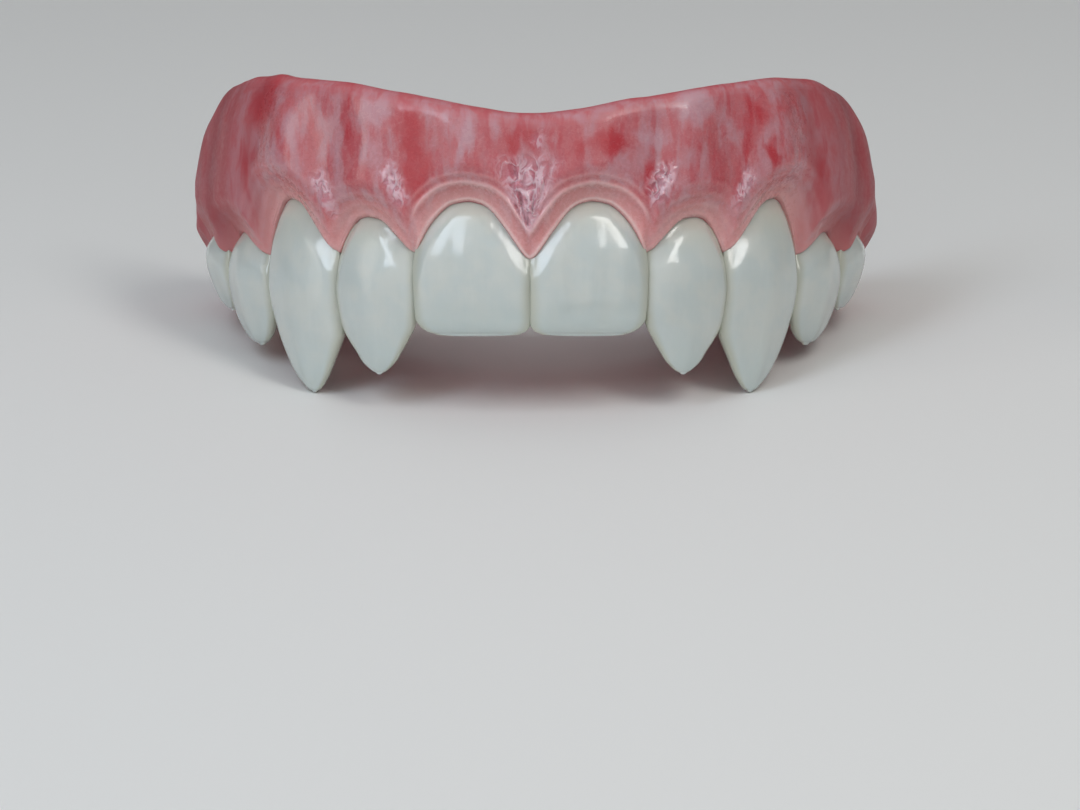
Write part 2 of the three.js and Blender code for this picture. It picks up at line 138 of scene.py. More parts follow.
SHOULDER_DEPTH = 0.32  # a tooth's face falls back by this much as it nears the gum line,
SHOULDER_REACH = 1.5  # within this distance of it
LAST_AHEAD = 0.4  # the last tooth stands this much further out than its solid

# Top edge of the flange, as in the solids: share of the way from the midline to the rear end, and
# share of the flange's height
BORDER_ROWS = [
    (0, 0.805), (0.09, 0.828), (0.18, 0.865), (0.33, 0.925), (0.5, 0.965), (0.64, 0.99),
    (0.72, 0.998), (0.81, 0.945), (0.88, 0.85), (0.94, 0.72), (1, 0.55),
]

# Outer face of the gum, from the gum line, 0, to the top edge, 1: how far it stands out at the
# front and at the sides, in flange thicknesses, and how much of the swellings is felt there. The
# face is flatter than in the solids.
FACE_COLUMNS = ("up", "front", "side", "swell")
FACE_ROWS = [
    (0, 0, 0, 0.22), (0.08, 0.05, 0.13, 0.4), (0.22, 0.06, 0.27, 0.72),
    (0.4, 0.03, 0.28, 0.97), (0.58, 0.03, 0.18, 0.95), (0.76, 0.04, 0.03, 0.66),
    (0.9, 0.04, -0.17, 0.33), (1, 0.02, -0.42, 0.12),
]

# How much higher the top edge stands than in the solids, by signed length along the arch
BORDER_LIFT = [
    (-46, 0.3), (-40, 0.2), (-35, -0.05), (-31, 0.25), (-27.5, 0.6), (-24, 0.8), (-20, 0.6), (-8, 0.6),
    (6, 0.5), (14, 0.35), (22.5, 0.65), (26, 0.45), (29, 0.2), (31, -0.15), (34, -0.45), (37, -0.2),
    (40, 0.4), (46, 0.6),
]

# Course of the gum line from a tooth's highest point, 0, to the gum's tip beside it, 1: share of
# the way across and share of the fall, on the side towards the midline and on the other side.
MESIAL_LINE = [
    (0, 0), (0.2, 0.045), (0.35, 0.14), (0.48, 0.29), (0.6, 0.46), (0.7, 0.61), (0.8, 0.77),
    (0.88, 0.89), (0.94, 0.96), (1, 1),
]
DISTAL_LINE = [
    (0, 0), (0.3, 0.05), (0.45, 0.145), (0.6, 0.3), (0.72, 0.47), (0.81, 0.64), (0.89, 0.82),
    (0.95, 0.94), (1, 1),
]


# Numbers

LATTICE = 256  # cells of the noise each way before it repeats


def ease(v):
    """Soft step from 0 to 1."""
    v = np.clip(v, 0, 1)
    return v * v * (3 - 2 * v)


def signed_power(v, p):
    return np.sign(v) * np.abs(v) ** p


def bell(v, width):
    """1 at 0, falling to almost nothing within two widths on either side."""
    return np.exp(-((v / width) ** 2))


def hump(v, foot, top, fade):
    """Rises from 0 to 1 over the foot, and falls back to 0 at the top, over the fade."""
    return ease(v / foot) * ease((top - v) / fade)


def smooth(at, places, values):
    """Monotone smooth curve through a table's values, flat at both ends."""
    places = np.asarray(places, float)
    values = np.asarray(values, float)
    steps = np.diff(values) / np.diff(places)
    slopes = np.zeros(len(values))
    both = steps[:-1] * steps[1:]
    total = steps[:-1] + steps[1:]
    slopes[1:-1] = np.where(both > 0, 2 * both / np.where(total == 0, 1, total), 0)
    at = np.clip(at, places[0], places[-1])
    i = np.clip(np.searchsorted(places, at) - 1, 0, len(places) - 2)
    span = places[i + 1] - places[i]
    t = (at - places[i]) / span
    h = t * t * (3 - 2 * t)
    rise = slopes[i] * span * t * (1 - t) ** 2 - slopes[i + 1] * span * t * t * (1 - t)
    return values[i] * (1 - h) + values[i + 1] * h + rise


def table(rows, columns):
    """The columns of a table, by name."""
    return {name: [row[k] for row in rows] for k, name in enumerate(columns)}


def noise(u, v, seed):
    """Smooth noise from -1 to 1 over a plane, with features about one unit across."""
    lattice = np.random.default_rng(seed).uniform(-1, 1, (LATTICE, LATTICE))
    iu = np.floor(u).astype(int)
    iv = np.floor(v).astype(int)
    fu = ease(u - iu)
    fv = ease(v - iv)
    a = lattice[iu % LATTICE, iv % LATTICE]
    b = lattice[(iu + 1) % LATTICE, iv % LATTICE]
    c = lattice[iu % LATTICE, (iv + 1) % LATTICE]
    d = lattice[(iu + 1) % LATTICE, (iv + 1) % LATTICE]
    return (a * (1 - fu) + b * fu) * (1 - fv) + (c * (1 - fu) + d * fu) * fv


def rough_noise(u, v, seed, octaves):
    """Noises one on the other, each half as large and as high as the one before."""
    total = 0
    for k in range(octaves):
        total = total + noise(u * 2**k, v * 2**k, seed + k) / 2**k
    return total


# Bite frame and arch

mount = next(m for m in frame["record"]["mounts"] if m["name"] == "bite_floor")
TILT = math.atan2(mount["axis"][1], mount["axis"][2])
FLOOR_POINT = (0, CHANNEL_FRONT + CHANNEL_WIDTH / 2, FRONT_UNDERSIDE + FLOOR_THICKNESS)


def turned(points):
    """Directions of the bite frame, as directions of the frame."""
    points = np.asarray(points, float)
    x, y, z = points[..., 0], points[..., 1], points[..., 2]
    cos, sin = math.cos(TILT), math.sin(TILT)
    return np.stack([x, y * cos + z * sin, z * cos - y * sin], -1)


OFFSET = np.array(mount["pos_m"]) - turned(FLOOR_POINT) * MM


def to_row(points):
    """Points of the bite frame in millimetres, as points of the frame in metres."""
    return turned(points) * MM + OFFSET


# The arch line: half an ellipse
ARCH_SAMPLES = 4000
ARCH_ANGLES = np.linspace(0, math.pi / 2, ARCH_SAMPLES)
ARCH_X = ARCH_HALF_WIDTH * np.sin(ARCH_ANGLES)
ARCH_Y = ARCH_DEPTH * (1 - np.cos(ARCH_ANGLES))
ARCH_HEADING = np.arctan2(ARCH_DEPTH * np.sin(ARCH_ANGLES), ARCH_HALF_WIDTH * np.cos(ARCH_ANGLES))
ARCH_LENGTH = np.concatenate([[0], np.cumsum(np.hypot(np.diff(ARCH_X), np.diff(ARCH_Y)))])


def arch_at(s):
    """Place and heading of the arch line at a signed length from the midline."""
    side = np.where(s < 0, -1, 1)
    length = np.abs(s)
    x = side * np.interp(length, ARCH_LENGTH, ARCH_X)
    y = np.interp(length, ARCH_LENGTH, ARCH_Y) + np.maximum(0, length - ARCH_LENGTH[-1])
    heading = side * np.interp(length, ARCH_LENGTH, ARCH_HEADING)
    return x, y, heading


def arch_point(s, d, z):
    """Point at length s along the arch, d ahead of the arch line and z up."""
    x, y, heading = arch_at(s)
    return np.stack(np.broadcast_arrays(x + d * np.sin(heading), y - d * np.cos(heading), z), -1)


# Places and heights of the teeth, from the shares in their table
REACH = 0.0  # length along the arch, from the midline to the end of the last tooth
for tooth in TEETH:
    tooth["ahead"] = LAST_AHEAD if tooth is TEETH[-1] else 0
    tooth["width"] *= INCISOR_WIDTH
    tooth["half"] = (tooth["width"] + CONTACT_GAP) / 2
    tooth["middle"] = REACH + tooth["half"]
    REACH += 2 * tooth["half"]
    tooth["tip"] = -tooth["drop"] * FANG_DROP
    tooth["neck"] *= INCISOR_NECK
    tooth["papilla"] = tooth["gum"] * INCISOR_NECK
ARCH_END = REACH + REAR_PAD
MIDDLE_OF = {tooth["name"]: tooth["middle"] for tooth in TEETH}


# Mesh pieces


def add(name, data):
    """A new object in the scene."""
    thing = bpy.data.objects.new(name, data)
    bpy.context.scene.collection.objects.link(thing)
    return thing


def make_piece(name, points, faces, attributes, material, nodes):
    """A smooth-shaded mesh of bite-frame points that takes the place of CAD nodes."""
    mesh = bpy.data.meshes.new(name)
    mesh.from_pydata(to_row(points).tolist(), [], faces)
    mesh.validate()
    mesh.shade_smooth()
    for key, values in attributes.items():
        values = np.asarray(values, np.float32)
        kind, field = ("FLOAT", "value") if values.ndim == 1 else ("FLOAT_VECTOR", "vector")
        mesh.attributes.new(key, kind, "POINT").data.foreach_set(field, values.ravel())
    mesh.materials.append(material)
    piece = add(name, mesh)
    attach(piece, "root")
    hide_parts(*nodes)
    return piece


def grid_faces(rows, columns):
    """Quads over a grid of points, row by row, closed round the columns."""
    faces = []
    for r in range(rows - 1):
        for c in range(columns):
            a = r * columns + c
            b = r * columns + (c + 1) % columns
            faces.append((a, b, b + columns, a + columns))
    return faces


# Materials


class Nodes:
    """Builds a material's nodes, one call each."""

    def __init__(self, name):
        self.material = bpy.data.materials.new(name)
        self.material.use_nodes = True
        self.tree = self.material.node_tree
        self.shader = self.tree.nodes["Principled BSDF"]

    def fill(self, sockets, values):
        """Gives sockets values or other nodes' outputs."""
        for name, value in values.items():
            if isinstance(value, bpy.types.NodeSocket):
                self.tree.links.new(value, sockets[name])
            else:
                sockets[name].default_value = value

    def node(self, kind, values, **settings):
        node = self.tree.nodes.new("ShaderNode" + kind)
        for name, value in settings.items():
            setattr(node, name, value)
        self.fill(node.inputs, values)
        return node

    def shade(self, values):
        self.fill(self.shader.inputs, values)

    def attribute(self, name, vector=False):
        node = self.node("Attribute", {}, attribute_name=name)
        return node.outputs["Vector" if vector else "Fac"]

    def stretched(self, vector, scale, offset=(0, 0, 0)):
        values = {"Scale": scale, "Location": offset, "Vector": vector}
        return self.node("Mapping", values).outputs["Vector"]

    def noise(self, vector, scale=1.0, detail=3.0, roughness=0.5, distortion=0.0):
        values = {"Vector": vector, "Scale": scale, "Detail": detail, "Roughness": roughness}
        return self.node("TexNoise", {**values, "Distortion": distortion}).outputs["Fac"]

    def ramp(self, value, low, high, to_low=0.0, to_high=1.0):
        values = {"Value": value, "From Min": low, "From Max": high, "To Min": to_low, "To Max": to_high}
        return self.node("MapRange", values, interpolation_type="SMOOTHSTEP").outputs["Result"]

    def math(self, operation, a, b=0.0):
        return self.node("Math", {0: a, 1: b}, operation=operation).outputs[0]

    def mix(self, factor, a, b):
        """Colour a where the factor is 0, and b where it is 1."""
        return self.node("Mix", {0: factor, 6: a, 7: b}, data_type="RGBA").outputs[2]

    def layered(self, base, layers):
        """A base with layers over it, the lowest first: where, how strongly and in what colour."""
        for place, share, rgb in layers:
            base = self.mix(self.math("MULTIPLY", place, share), base, colour(*rgb))
        return base

    def bump(self, height, strength, distance, normal=None):
        values = {"Strength": strength, "Distance": distance, "Height": height}
        if normal:
            values["Normal"] = normal
        return self.node("Bump", values).outputs["Normal"]


def colour(red, green, blue):
    """A linear colour from 8-bit sRGB numbers."""
    shares = np.array([red, green, blue]) / 255
    linear = np.where(shares <= 0.04045, shares / 12.92, ((shares + 0.055) / 1.055) ** 2.4)
    return (*linear.tolist(), 1.0)


def gum_material():
    """Polished acrylic: greyish and rosy pink in upright streaks, with crimson mottles, painted
    highlights along the incisors' margins and ledges, painted sheen and glints on the crinkles, and
    painted shade in the furrows and towards the rear ends.
    """
    n = Nodes("gum_acrylic")
    place = n.attribute("arch", vector=True)
    blush, inside, margin, rim, ledge_and_highlight = map(n.attribute, ("blush", "inside", "margin", "rim", "ledge_and_highlight"))
    crinkle, rear, brow, edge_highlight, furrow_shade = map(n.attribute, ("crinkle", "rear", "brow", "edge_highlight", "furrow_shade"))
    clouds = n.noise(n.stretched(place, (0.42, 0.2, 1)), roughness=0.55, distortion=0.3)
    streaks = n.noise(n.stretched(place, (1.1, 0.3, 1), (7, 3, 0)), distortion=0.5)
    fibres = n.noise(n.stretched(place, (3.2, 1.1, 1), (2, 9, 0)), roughness=0.55, distortion=0.8)
    lumps = n.noise(n.stretched(place, (1.2, 0.9, 1), (5, 1, 0)), detail=2, roughness=0.4, distortion=0.8)
    folds = n.math("ABSOLUTE", n.math("SUBTRACT", lumps, 0.5))
    redness = n.math("ADD", blush, n.math("MULTIPLY", n.math("SUBTRACT", streaks, 0.5), 0.9))

    layers = [
        (n.ramp(streaks, 0.44, 0.68), 0.7, (186, 80, 88)),
        (n.ramp(fibres, 0.5, 0.75), 0.3, (202, 142, 146)),
        (n.ramp(redness, 0.1, 0.85), 0.85, (182, 50, 60)),
        (n.ramp(redness, -0.1, -0.7), 0.75, (194, 152, 162)),
        (margin, 0.8, (222, 164, 162)),
        # painted highlight along the ledges over the incisors' margins
        (ledge_and_highlight, 0.55, (236, 198, 198)),
        # painted highlight: a thin pale line along the rolled gum edge over the incisors
        (edge_highlight, 0.6, (240, 214, 212)),
        # painted sheen: a lilac tint over the crinkled patches and the frenum's folds
        (crinkle, 0.42, (200, 152, 172)),
        # painted glints: near white on the crests of those folds
        (n.math("MULTIPLY", crinkle, n.ramp(folds, 0.11, 0.02)), 0.6, (244, 220, 230)),
        (rim, 0.7, (176, 36, 50)),
        (inside, 0.55, (184, 102, 106)),
        # painted shade: darker red towards the rear ends, where the front light falls off
        (rear, 0.65, (158, 66, 72)),
        # painted shade in the upright furrows between the roots
        (furrow_shade, 0.35, (124, 48, 54)),
    ]
    base = n.mix(n.ramp(clouds, 0.38, 0.62), colour(190, 134, 142), colour(190, 102, 108))

    grain = n.noise(place, scale=2.6, detail=4, roughness=0.6)
    specks = n.noise(place, scale=11, detail=2)
    rough = n.ramp(grain, 0.35, 0.7, 0.2, 0.36)
    rough = n.math("ADD", rough, n.math("MULTIPLY", inside, 0.22))
    dull = n.math("MAXIMUM", brow, rear)
    normal = n.bump(n.math("MULTIPLY", folds, crinkle), 1.0, -0.0007)
    normal = n.bump(grain, 0.15, 0.0001, normal)
    n.shade({
        "Base Color": n.layered(base, layers),
        "Roughness": n.math("ADD", rough, n.math("MULTIPLY", dull, 0.3)),
        "Coat Roughness": n.math("MAXIMUM", n.math("MULTIPLY", dull, 0.5), 0.07),
        "Coat Weight": n.math("SUBTRACT", 0.5, n.math("MULTIPLY", dull, 0.35)),
        "Normal": n.bump(specks, 0.1, 0.00003, normal),
        "Subsurface Weight": 0.35,
        "Subsurface Radius": (1.0, 0.35, 0.3),
        "Subsurface Scale": 0.0012,
        "IOR": 1.49,
    })
    return n.material


def tooth_material():
    """Polished acrylic: cool greenish white, greyer and clearer towards the biting edge, warmer towards
    the contacts, with painted shade there.
    """
    n = Nodes("tooth_acrylic")
    place = n.attribute("tooth", vector=True)
    up, side, back = map(n.attribute, ("height", "side", "back"))
    lines = n.noise(n.stretched(place, (2.2, 0.35, 1)))
    clouds = n.noise(place, scale=0.5, detail=2)
    layers = [
        (n.ramp(lines, 0.45, 0.75), 0.2, (208, 214, 211)),
        (n.ramp(up, 0.32, 0.02), 0.6, (190, 203, 202)),
        (n.ramp(up, 0.6, 0.92), 0.5, (205, 204, 186)),
        # warmer and darker towards the contacts: the warm tint is the teeth's own, the darkening is
        # painted shade between the teeth
        (n.ramp(side, 0.78, 1.0), 0.6, (178, 178, 156)),
        (back, 0.3, (184, 188, 172)),
    ]
    base = n.mix(n.ramp(clouds, 0.35, 0.65), colour(197, 205, 203), colour(203, 208, 204))
    ripples = n.noise(n.stretched(place, (0.6, 5, 0.6)), roughness=0.6)
    normal = n.bump(ripples, 0.12, 0.00006)
    n.shade({
        "Base Color": n.layered(base, layers),
        "Roughness": n.ramp(clouds, 0.3, 0.7, 0.16, 0.26),
        "Normal": n.bump(lines, 0.15, 0.00008, normal),
        "Subsurface Weight": 0.4,
        "Subsurface Radius": (1.0, 0.95, 0.85),
        "Subsurface Scale": 0.0012,
        "Coat Weight": 0.6,
        "Coat Roughness": 0.08,
        "IOR": 1.49,
    })
    return n.material


# Teeth

TOOTH_ROUND = 112  # points round a tooth
TOOTH_UP = 96  # rings from tip to root
CAP_RINGS = 6
CROWDING = 1.4  # above 1 the rings stand closer together towards the tip
TIGHTER = 0.16  # each side of a tooth comes this much nearer to its neighbour than its solid,
TIP_SHARE = 0.09  # above this share of its height

# Relief of the teeth: depths in millimetres, the other values as shares of half the width
GROOVE_DEPTH = 0.07
GROOVE_PLACE = 0.3
GROOVE_WIDTH = 0.14
RIDGES = {"lateral": (0.1, 0.35), "canine": (0.16, 0.3), "premolar": (0.16, 0.3)}  # rise, width
FOSSA_DEPTH = 0.45
FOSSA_WIDTH = 0.55
LOBES_SPAN = (0.12, 0.8, 0.35)  # foot, top and fade, as shares of the tooth's height
FOSSA_SPAN = (0.15, 0.6, 0.3)

APART = 10  # how far the pattern of the material moves on from one tooth to the next


def tooth_half_profile(tooth, side, at):
    """Half-widths, front, back and sideways shift of a tooth at shares of its height."""
    form = FORMS[tooth["form"]]
    rows = table(form["rows"], FORM_COLUMNS)
    depth = form["depth"] * FANG_DEPTH
    half = tooth["width"] / 2
    tighter = TIGHTER * ease(at / TIP_SHARE)
    mesial = smooth(at, rows["at"], rows["mesial"]) * half + tighter
    distal = smooth(at, rows["at"], rows["distal"]) * half + tighter
    front = smooth(at, rows["at"], rows["front"]) * depth
    back = smooth(at, rows["at"], rows["back"]) * depth
    shift = -side * form["lean"] * half * np.clip(1 - at / LEAN_END, 0, 1) ** 2
    neck = ease((at - NECK_START) / (1 - NECK_START))
    narrower = 1 - NECK_TAPER * neck
    return mesial * narrower, distal * narrower, front + NECK_FALL * neck * depth, back, shift


def tooth_relief(tooth, up, distal, inwards):
    """Length that a tooth's face lies behind its plain form: lobes, hollows and lingual fossa."""
    front = np.clip(-inwards, 0, 1) ** 0.5
    back = np.clip(inwards, 0, 1)
    body = hump(up, *LOBES_SPAN)
    if tooth["form"] == "incisor":
        grooves = bell(distal - GROOVE_PLACE, GROOVE_WIDTH) + bell(distal + GROOVE_PLACE, GROOVE_WIDTH)
        labial = GROOVE_DEPTH * grooves * body * front
    else:
        rise, width = RIDGES[tooth["form"]]
        labial = -rise * bell(distal, width) * body * front
    fossa = -FOSSA_DEPTH * bell(distal, FOSSA_WIDTH) * hump(up, *FOSSA_SPAN) * back
    return labial + fossa


def rounded_tip(first_ring, edge):
    """Rings that draw in from a tooth's first one to its rounded tip, from the tip upwards."""
    centre = first_ring.mean(0)
    rings = []
    for k in range(CAP_RINGS, 0, -1):
        share_in = math.cos(k / (CAP_RINGS + 1) * math.pi / 2)
        ring = centre + (first_ring - centre) * share_in
        ring[:, 2] = first_ring[0, 2] - edge * math.sqrt(1 - share_in**2)
        rings.append(ring)
    return rings


def make_tooth(tooth, side, material):
    form = FORMS[tooth["form"]]
    top = tooth["neck"] + ROOT_DEPTH
    edge = form["edge"]
    share = np.linspace(0, 1, TOOTH_UP) ** CROWDING
    mesial, distal, front, back, shift = tooth_half_profile(tooth, side, share)
    z = tooth["tip"] + edge + (top - tooth["tip"] - edge) * share

    angle = np.linspace(0, 2 * math.pi, TOOTH_ROUND, endpoint=False)
    across = signed_power(np.cos(angle), 2 / form["squareness"])[None]
    inwards = signed_power(np.sin(angle), 2 / form["squareness"])[None]
    middle = front + (back - front) * SIDE_LINE
    half = np.where(across * side > 0, distal[:, None], mesial[:, None])
    x = shift[:, None] + across * half
    depth_there = np.where(inwards > 0, (back - middle)[:, None], (middle - front)[:, None])
    y = middle[:, None] + inwards * depth_there - tooth["ahead"]
    y = y + tooth_relief(tooth, share[:, None], across * side, inwards)
    gap = gum_gap(side * tooth["middle"] + x, z[:, None])
    y = y + SHOULDER_DEPTH * ease(1 - gap / SHOULDER_REACH) * np.clip(-inwards * 2, 0, 1)
    points = np.stack([x, y, np.broadcast_to(z[:, None], x.shape)], -1)

    rings = [*rounded_tip(points[0], edge), *points]
    tip = np.array([*points[0].mean(0)[:2], tooth["tip"]])
    root = points[-1].mean(0)
    local = np.concatenate([np.concatenate(rings), [tip, root]])

    count = TOOTH_ROUND
    faces = grid_faces(len(rings), count)
    last_ring = (len(rings) - 1) * count
    tip_index = len(rings) * count
    root_index = tip_index + 1
    for k in range(count):
        following = (k + 1) % count
        faces.append((following, k, tip_index))
        faces.append((last_ring + k, last_ring + following, root_index))

    def round_all(values):
        """Values round one ring, for all rings and the two end points."""
        return np.concatenate([np.broadcast_to(values, (len(rings), count)).ravel(), [0, 0]])

    ax, ay, heading = arch_at(np.array(side * tooth["middle"]))
    cos, sin = math.cos(heading), math.sin(heading)
    placed = np.stack([
        ax + local[:, 0] * cos - local[:, 1] * sin,
        ay + local[:, 0] * sin + local[:, 1] * cos,
        local[:, 2],
    ], -1)
    # "tooth" holds the place on the labial face, apart for each tooth, with the height second
    apart = APART * (TEETH.index(tooth) + (0.5 if side > 0 else 0))
    attributes = {
        "tooth": np.stack([local[:, 0] + apart, local[:, 2], local[:, 1]], -1),
        "height": (local[:, 2] - tooth["tip"]) / (top - tooth["tip"]),
        "side": np.abs(round_all(across * side)),
        "back": ease(round_all(inwards)),
    }
    node = f"{tooth['name']}_{'right' if side > 0 else 'left'}"
    return make_piece(f"{node}_crown", placed, faces, attributes, material, [node])


# Gum line

LINE_STEP = 0.05  # length over which its slope is taken
NEAR_STATIONS = 36  # how many stations away its nearest point is looked for
SOFTENING = 1.2  # length over which its points are evened out
SOFT_SAMPLES = 1001
SOFT_REACH = 30
SLACK = 1e-9  # lets no place fall between two teeth

SWELLS = {"incisor": ROOT_SWELL, "lateral": ROOT_SWELL, "canine": CANINE_SWELL, "premolar": SIDE_SWELL}


def gum_line(s):
    """Height of the gum line, pull of the nearest tooth and swelling over its root."""
    length = np.abs(s)
    fall = ease((length - REACH) / (REAR_PAD * PAD_FALL))
    last = TEETH[-1]["papilla"]
    height = last + (REAR_UNDERSIDE + PAD_LIP - last) * fall
    pull = np.zeros_like(height)
    swell = np.full_like(height, SIDE_SWELL)
    before = MIDLINE_PAPILLA * INCISOR_NECK
    for tooth in TEETH:
        near = np.abs(length - tooth["middle"]) <= tooth["half"] + SLACK
        peak = tooth["skew"] * tooth["half"]
        past = length - tooth["middle"] - peak
        offset = np.clip(np.abs(past) / (tooth["half"] - np.sign(past) * peak), 0, 1)
        papilla = np.where(past < 0, before, tooth["papilla"])
        mesial = smooth(offset, *zip(*MESIAL_LINE))
        distal = smooth(offset, *zip(*DISTAL_LINE))
        line = tooth["neck"] - (tooth["neck"] - papilla) * np.where(past < 0, mesial, distal)
        height = np.where(near, line, height)
        across = np.clip((length - tooth["middle"]) / tooth["half"], -1, 1)
        pull = np.where(near, np.cos(across * math.pi / 2) ** 2, pull)
        swell = np.where(near, SWELLS[tooth["form"]], swell)
        before = tooth["papilla"]
    return height, pull, swell


def gum_gap(s, z):
    """Distance below the gum line, about square to it, of a place on the outer face."""
    slope = (gum_line(s + LINE_STEP)[0] - gum_line(s - LINE_STEP)[0]) / (2 * LINE_STEP)
    return (gum_line(s)[0] - z) / np.sqrt(1 + slope**2)


def softened(s, line):
    """The gum line without its points, for the plain face to follow."""
    even = np.linspace(-ARCH_END, ARCH_END, SOFT_SAMPLES)
    spread = np.arange(-SOFT_REACH, SOFT_REACH + 1) * (even[1] - even[0])
    kernel = np.exp(-((spread / SOFTENING) ** 2) / 2)
    heights = np.pad(np.interp(even, s[::-1], line[::-1]), SOFT_REACH, mode="edge")
    return np.interp(s, even, np.convolve(heights, kernel / kernel.sum(), mode="valid"))


def line_distance(s, z, line):
    """Distance of each face point from the nearest point of the gum line."""
    nearest = (z - line) ** 2
    for shift in range(1, NEAR_STATIONS):
        ahead = slice(shift, None)
        behind = slice(None, -shift)
        for a, b in ((ahead, behind), (behind, ahead)):
            distance = (s[a] - s[b]) ** 2 + (z[:, a] - line[b]) ** 2
            nearest[:, a] = np.minimum(nearest[:, a], distance)
    return np.sqrt(nearest)


# Outer face of the gum

PAD_EARLY = 0.2  # the recess starts this much before the end of the last tooth
PAD_STEP_LENGTH = 1.6
SHELF_FALL = 1.6  # height over which the recess deepens below its overhang,
SHELF_FALL_REAR = 3  # and what that gains towards the rear ends
BETWEEN_TEETH = -1.6  # where the bed stands behind the arch line between two teeth


def share_round(s, rear_tooth):
    """Share of the way round from the lateral fangs to a tooth further back."""
    start = MIDDLE_OF["lateral_fang"]
    return ease((np.abs(s) - start) / (MIDDLE_OF[rear_tooth] - start))


def face_ahead(s, z, up):
    """Length that the gum's plain outer face stands ahead of the arch line."""
    rows = table(FACE_ROWS, FACE_COLUMNS)

    def felt(column):
        return smooth(up, rows["up"], rows[column])

    _, pull, swell = gum_line(s)
    behind = np.abs(s) - REACH
    near_step = ease((behind + PAD_EARLY) / PAD_STEP_LENGTH)
    tuck = PAD_STEP * near_step + (1 - PAD_STEP) * ease(behind / (REAR_PAD * PAD_TUCK))
    below = ease((PAD_SHELF - z) / (SHELF_FALL + SHELF_FALL_REAR * ease(behind / REAR_PAD)))
    profile = felt("front") + (felt("side") - felt("front")) * share_round(s, "first_premolar")
    return (
        MARGIN_PROUD
        + FLANGE_THICKNESS * profile
        + (swell * pull - ROOT_FURROW) * felt("swell")
        - PAD_RECESS * tuck * below
    )


def tooth_face(s, z):
    """Length that the nearest tooth's front stands ahead of the arch line, at a height."""
    ahead = np.full(np.shape(s), BETWEEN_TEETH)
    for side in (1, -1):
        for tooth in TEETH:
            u = s - side * tooth["middle"]
            near = np.abs(u) <= tooth["half"] + SLACK
            if not near.any():
                continue
            top = tooth["neck"] + ROOT_DEPTH
            at = np.clip((z - tooth["tip"]) / (top - tooth["tip"]), 0, 1)
            mesial, distal, front, back, shift = tooth_half_profile(tooth, side, at)
            half = np.where(u * side > 0, distal, mesial)
            across = np.clip(np.abs(u - shift) / half, 0, 1)
            power = FORMS[tooth["form"]]["squareness"]
            middle = front + (back - front) * SIDE_LINE
            face = -(middle - (middle - front) * (1 - across**power) ** (1 / power))
            bulge = u**2 / (2 * ARCH_HALF_WIDTH)
            ahead = np.where(near, face + bulge + tooth["ahead"], ahead)
    return ahead


# Relief and mottles of the gum

# Mottles: place along the arch, height, reach each way and how red, or how pale
MOTTLES = [
    (-24.6, 19.4, 2.4, 2.6, 0.9), (-26.4, 12.6, 0.7, 3.0, 0.6), (-18.4, 17.4, 0.8, 1.6, 0.55),
    (-14.8, 18.0, 0.8, 2.6, 0.75), (-9.5, 17.0, 1.0, 2.6, 0.85), (-9.4, 13.6, 1.3, 1.5, 0.95),
    (-9.0, 10.4, 0.5, 2.2, 0.6), (-1.2, 16.1, 0.9, 1.0, 1.0), (0.7, 15.6, 0.8, 2.2, 0.5),
    (4.3, 14.8, 2.0, 1.2, 0.5), (7.1, 14.8, 1.3, 1.0, 0.75), (9.4, 13.0, 0.7, 1.2, 0.95),
    (9.6, 10.6, 0.5, 2.0, 0.45), (14.0, 15.4, 1.4, 1.2, 0.4), (18.6, 18.4, 2.2, 1.8, 0.75),
    (18.0, 14.6, 0.8, 2.0, 0.5), (20.6, 14.6, 1.0, 0.6, 0.8), (26.6, 13.2, 0.8, 2.6, 0.6),
    (34.0, 15.0, 1.0, 3.4, 0.5), (-31.5, 12.0, 0.8, 3.0, 0.3), (-20.6, 16.6, 1.2, 2.2, -0.6),
    (-12.0, 18.2, 1.6, 1.4, -0.75), (-12.4, 14.6, 1.4, 1.4, -0.5), (-5.1, 15.2, 0.5, 1.6, -0.8),
    (-2.8, 16.4, 0.9, 0.8, -0.5), (-16.4, 14.2, 1.0, 2.0, -0.4), (-22.4, 14.2, 0.8, 3.0, -0.4),
    (3.4, 17.0, 1.6, 0.6, -0.5), (9.6, 15.9, 1.4, 1.2, -0.75), (13.2, 18.4, 1.5, 1.4, -0.75),
    (20.6, 19.7, 1.4, 0.9, -0.7), (29.5, 14.5, 0.9, 2.6, -0.35),
]
MOTTLE_DRIFT = (0.5, 0.9)  # how far their outlines wander, along the arch and upwards
MOTTLE_FADE = 0.8
MOTTLE_LIMITS = (-1, 1.2)

# Crinkled patches: place along the arch, height, reach each way, slant and how deep they are
CRINKLES = [
    (-10.9, 12.1, 1.0, 1.8, -0.25, 0.9),
    (-17.4, 11.6, 0.9, 1.9, -0.35, 0.7),
    (10.5, 12.2, 1.0, 1.8, 0.25, 1.0),
    (17.9, 11.9, 0.8, 1.8, 0.4, 0.8),
    (0.6, 15.4, 0.6, 0.7, 0, 0.7),
]
CRINKLE_EDGE = 1.3
CRINKLE_RAGGED = 0.25
CRINKLE_SHARPNESS = 1.6

# Frenum: a fan of folds that stands above the papilla between the incisors, a little aside, and
# reaches up to its top. "reach" is its half angle and "folds" how many go into one radian.
FRENUM = dict(
    above=1.6, aside=0.1, slant=0.04, least=0.2, reach=0.38, edge=1.4, foot=1.2, top=7.2, fade=2.4,
    folds=6.0, sharpness=1.7,
)

# Upright furrows between the roots at the sides: length along the arch, share of the full depth
# and width
FURROWS = [(33.1, 1, 1.3), (25.7, 0.5, 1.2), (29.6, 0.3, 0.8), (36.4, 0.5, 0.9)]
FURROW_WANDER = 0.3

